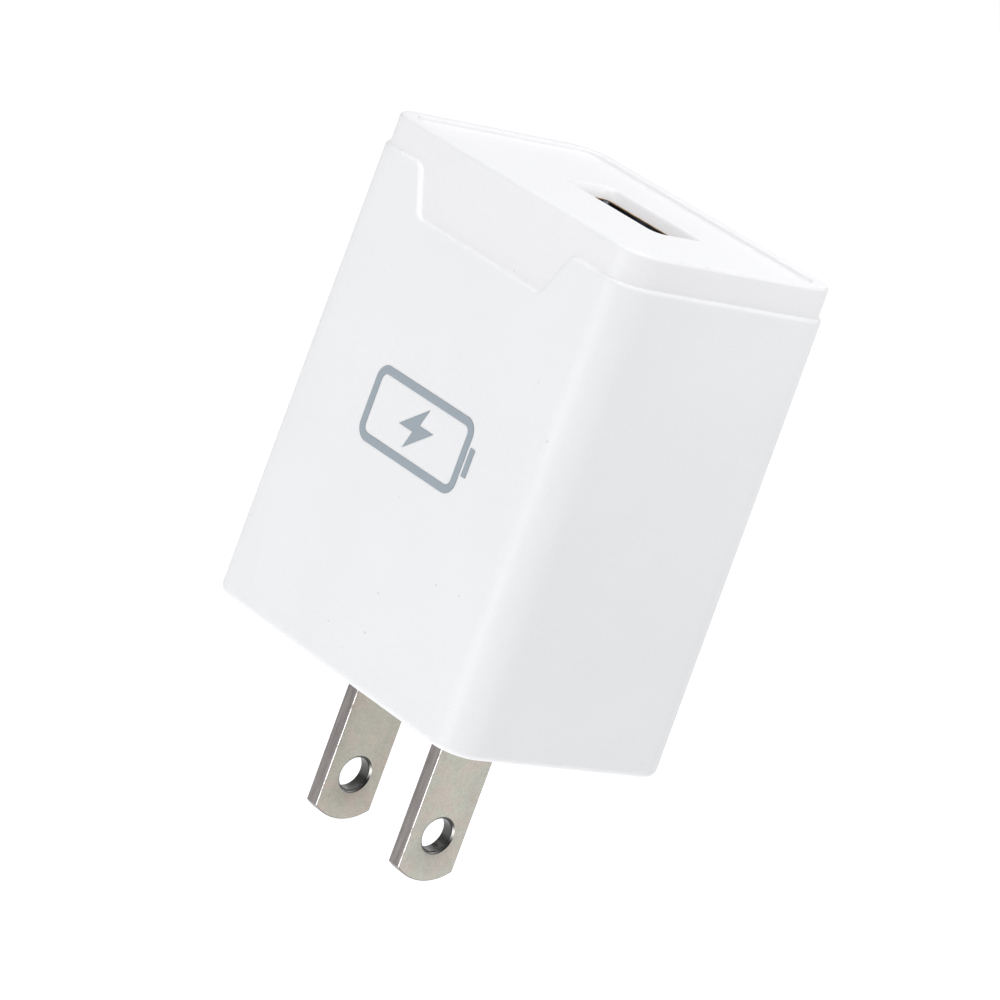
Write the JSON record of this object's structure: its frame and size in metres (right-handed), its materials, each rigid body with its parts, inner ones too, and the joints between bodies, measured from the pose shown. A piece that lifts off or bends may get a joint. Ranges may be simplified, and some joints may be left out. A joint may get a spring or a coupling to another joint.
{
  "type": "usb wall charger",
  "caption": "Compact rectangular mains adapter block with flat fixed blades at one end and a rectangular socket in a rimmed cap at the other.",
  "frame": {"origin": "centre of the face that meets the wall outlet, midway between the two blades", "axes": "+Z from the wall face towards the socket end, +X along the wide front face, -Y out of the front face that carries the tab and the printed icon"},
  "size_m": [0.0374, 0.0258, 0.0622],
  "materials": {
    "housing_plastic": "glossy white moulded plastic",
    "cap_plastic": "glossy white moulded plastic",
    "printed_ink": "flat grey printed ink",
    "blade_metal": "nickel-plated, stamped, satin",
    "black_resin": "moulded, glass-filled",
    "clip_brass": "stamped strip",
    "board_laminate": "green solder mask on glass laminate",
    "insulating_film": "translucent polyester film",
    "shield_steel": "nickel-plated sheet",
    "tongue_resin": "moulded, glass-filled",
    "contact_gold": "gold flash on bronze",
    "ferrite": "sintered, ground faces",
    "copper_wire": "enamelled copper turns",
    "yellow_tape": "polyester tape",
    "tinned_wire": "tinned",
    "resistor_coating": "flameproof coating",
    "capacitor_sleeve": "shrunk sleeve",
    "disc_coating": "dipped epoxy",
    "chip_resin": "moulded epoxy",
    "chip_ceramic": "fired ceramic"
  },
  "bodies": {
    "charger": {"main_housing": "housing_plastic", "usb_end_cap": "cap_plastic", "printed_icon": "printed_ink", "blade_left": "blade_metal", "blade_right": "blade_metal", "blade_retainer": "black_resin", "blade_clip_left": "clip_brass", "blade_clip_right": "clip_brass", "main_board": "board_laminate", "board_insulator": "insulating_film", "usb_shield": "shield_steel", "usb_tongue": "tongue_resin", "usb_contact_tails": "contact_gold", "core_half_lower": "ferrite", "core_half_upper": "ferrite", "transformer_bobbin": "black_resin", "transformer_winding": "copper_wire", "winding_tape": "yellow_tape", "core_tape": "yellow_tape", "transformer_pins": "tinned_wire", "fusible_resistor": "resistor_coating", "resistor_leads": "tinned_wire", "filter_choke": "ferrite", "choke_winding": "copper_wire", "input_capacitor_lower": "capacitor_sleeve", "input_capacitor_upper": "capacitor_sleeve", "output_capacitor_left": "capacitor_sleeve", "output_capacitor_right": "capacitor_sleeve", "capacitor_leads": "tinned_wire", "safety_capacitor": "disc_coating", "safety_capacitor_leads": "tinned_wire", "bridge_rectifier": "chip_resin", "control_chip": "chip_resin", "output_diode": "chip_resin", "port_chip": "chip_resin", "chip_legs": "tinned_wire", "chip_resistors": "chip_resin", "chip_capacitors": "chip_ceramic", "chip_terminals": "tinned_wire"},
    "power_contact": {"contact_power": "contact_gold"},
    "data_minus_contact": {"contact_data_minus": "contact_gold"},
    "data_plus_contact": {"contact_data_plus": "contact_gold"},
    "ground_contact": {"contact_ground": "contact_gold"}
  },
  "joints": [
    {"name": "power_contact_flex", "type": "hinge", "parent": "charger", "child": "power_contact", "pos_m": [0.0043, 0.00142, 0.0343], "axis": [1, 0, 0], "range_deg": [0, 4.4], "stiffness_Nm_per_rad": 0.068},
    {"name": "data_minus_contact_flex", "type": "hinge", "parent": "charger", "child": "data_minus_contact", "pos_m": [0.0018, 0.00142, 0.0343], "axis": [1, 0, 0], "range_deg": [0, 4.4], "stiffness_Nm_per_rad": 0.068},
    {"name": "data_plus_contact_flex", "type": "hinge", "parent": "charger", "child": "data_plus_contact", "pos_m": [-0.0002, 0.00142, 0.0343], "axis": [1, 0, 0], "range_deg": [0, 4.4], "stiffness_Nm_per_rad": 0.068},
    {"name": "ground_contact_flex", "type": "hinge", "parent": "charger", "child": "ground_contact", "pos_m": [-0.0027, 0.00142, 0.0343], "axis": [1, 0, 0], "range_deg": [0, 4.4], "stiffness_Nm_per_rad": 0.068}
  ]
}
